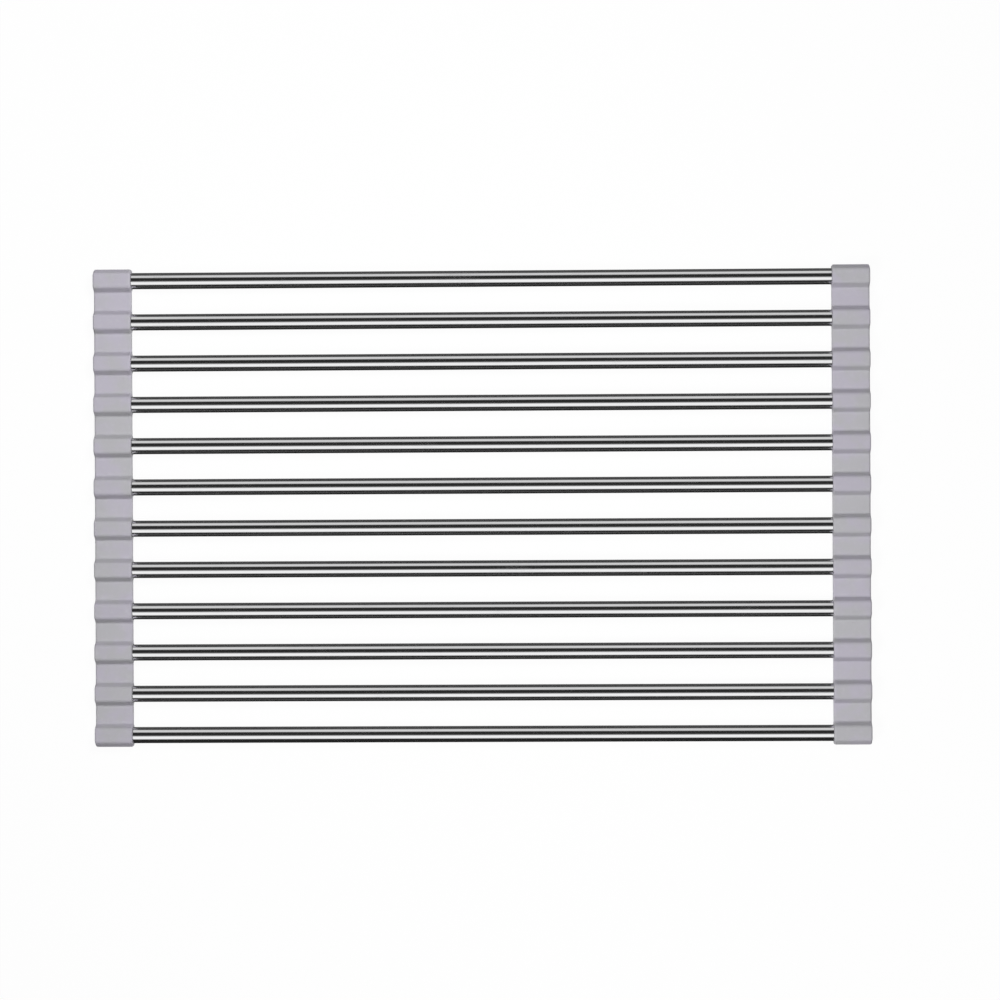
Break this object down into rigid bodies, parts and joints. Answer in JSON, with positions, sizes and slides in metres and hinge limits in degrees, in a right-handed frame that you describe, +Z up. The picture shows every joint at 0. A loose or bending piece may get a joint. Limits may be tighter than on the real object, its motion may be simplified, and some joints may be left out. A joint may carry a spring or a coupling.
{
  "type": "roll-up dish drying rack",
  "caption": "Flat rack of steel tubes held in two flexible silicone end strips. It lies over a sink or on a counter to drain dishes, and rolls up to store.",
  "frame": {"origin": "under the middle of the rack, on the surface that it lies on", "axes": "+X along the tubes, +Y across them from the front tube to the back one, +Z up"},
  "size_m": [0.45, 0.2776, 0.0125],
  "materials": {
    "tube_steel": "stainless steel, polished along the tube",
    "strip_silicone": "cool light grey silicone, matte"
  },
  "bodies": {
    "bar_01": {"steel_tube_01": "tube_steel", "left_strip_block_01": "strip_silicone", "right_strip_block_01": "strip_silicone", "left_strip_web_01": "strip_silicone", "right_strip_web_01": "strip_silicone"},
    "bar_02": {"steel_tube_02": "tube_steel", "left_strip_block_02": "strip_silicone", "right_strip_block_02": "strip_silicone", "left_strip_web_02": "strip_silicone", "right_strip_web_02": "strip_silicone"},
    "bar_03": {"steel_tube_03": "tube_steel", "left_strip_block_03": "strip_silicone", "right_strip_block_03": "strip_silicone", "left_strip_web_03": "strip_silicone", "right_strip_web_03": "strip_silicone"},
    "bar_04": {"steel_tube_04": "tube_steel", "left_strip_block_04": "strip_silicone", "right_strip_block_04": "strip_silicone", "left_strip_web_04": "strip_silicone", "right_strip_web_04": "strip_silicone"},
    "bar_05": {"steel_tube_05": "tube_steel", "left_strip_block_05": "strip_silicone", "right_strip_block_05": "strip_silicone", "left_strip_web_05": "strip_silicone", "right_strip_web_05": "strip_silicone"},
    "bar_06": {"steel_tube_06": "tube_steel", "left_strip_block_06": "strip_silicone", "right_strip_block_06": "strip_silicone", "left_strip_web_06": "strip_silicone", "right_strip_web_06": "strip_silicone"},
    "bar_07": {"steel_tube_07": "tube_steel", "left_strip_block_07": "strip_silicone", "right_strip_block_07": "strip_silicone", "left_strip_web_07": "strip_silicone", "right_strip_web_07": "strip_silicone"},
    "bar_08": {"steel_tube_08": "tube_steel", "left_strip_block_08": "strip_silicone", "right_strip_block_08": "strip_silicone", "left_strip_web_08": "strip_silicone", "right_strip_web_08": "strip_silicone"},
    "bar_09": {"steel_tube_09": "tube_steel", "left_strip_block_09": "strip_silicone", "right_strip_block_09": "strip_silicone", "left_strip_web_09": "strip_silicone", "right_strip_web_09": "strip_silicone"},
    "bar_10": {"steel_tube_10": "tube_steel", "left_strip_block_10": "strip_silicone", "right_strip_block_10": "strip_silicone", "left_strip_web_10": "strip_silicone", "right_strip_web_10": "strip_silicone"},
    "bar_11": {"steel_tube_11": "tube_steel", "left_strip_block_11": "strip_silicone", "right_strip_block_11": "strip_silicone", "left_strip_web_11": "strip_silicone", "right_strip_web_11": "strip_silicone"},
    "bar_12": {"steel_tube_12": "tube_steel", "left_strip_block_12": "strip_silicone", "right_strip_block_12": "strip_silicone"}
  },
  "joints": [
    {"name": "roll_hinge_01", "type": "hinge", "parent": "bar_01", "child": "bar_02", "pos_m": [0, -0.12, 0.00625], "axis": [1, 0, 0], "range_deg": [0, 38], "deforming": ["left_strip_web_01", "right_strip_web_01"]},
    {"name": "roll_hinge_02", "type": "hinge", "parent": "bar_02", "child": "bar_03", "pos_m": [0, -0.096, 0.00625], "axis": [1, 0, 0], "range_deg": [0, 39], "deforming": ["left_strip_web_02", "right_strip_web_02"]},
    {"name": "roll_hinge_03", "type": "hinge", "parent": "bar_03", "child": "bar_04", "pos_m": [0, -0.072, 0.00625], "axis": [1, 0, 0], "range_deg": [0, 41], "deforming": ["left_strip_web_03", "right_strip_web_03"]},
    {"name": "roll_hinge_04", "type": "hinge", "parent": "bar_04", "child": "bar_05", "pos_m": [0, -0.048, 0.00625], "axis": [1, 0, 0], "range_deg": [0, 43], "deforming": ["left_strip_web_04", "right_strip_web_04"]},
    {"name": "roll_hinge_05", "type": "hinge", "parent": "bar_05", "child": "bar_06", "pos_m": [0, -0.024, 0.00625], "axis": [1, 0, 0], "range_deg": [0, 45], "deforming": ["left_strip_web_05", "right_strip_web_05"]},
    {"name": "roll_hinge_06", "type": "hinge", "parent": "bar_06", "child": "bar_07", "pos_m": [0, 0, 0.00625], "axis": [1, 0, 0], "range_deg": [0, 48], "deforming": ["left_strip_web_06", "right_strip_web_06"]},
    {"name": "roll_hinge_07", "type": "hinge", "parent": "bar_07", "child": "bar_08", "pos_m": [0, 0.024, 0.00625], "axis": [1, 0, 0], "range_deg": [0, 52], "deforming": ["left_strip_web_07", "right_strip_web_07"]},
    {"name": "roll_hinge_08", "type": "hinge", "parent": "bar_08", "child": "bar_09", "pos_m": [0, 0.048, 0.00625], "axis": [1, 0, 0], "range_deg": [0, 56], "deforming": ["left_strip_web_08", "right_strip_web_08"]},
    {"name": "roll_hinge_09", "type": "hinge", "parent": "bar_09", "child": "bar_10", "pos_m": [0, 0.072, 0.00625], "axis": [1, 0, 0], "range_deg": [0, 61], "deforming": ["left_strip_web_09", "right_strip_web_09"]},
    {"name": "roll_hinge_10", "type": "hinge", "parent": "bar_10", "child": "bar_11", "pos_m": [0, 0.096, 0.00625], "axis": [1, 0, 0], "range_deg": [0, 69], "deforming": ["left_strip_web_10", "right_strip_web_10"]},
    {"name": "roll_hinge_11", "type": "hinge", "parent": "bar_11", "child": "bar_12", "pos_m": [0, 0.12, 0.00625], "axis": [1, 0, 0], "range_deg": [0, 82], "deforming": ["left_strip_web_11", "right_strip_web_11"]}
  ]
}
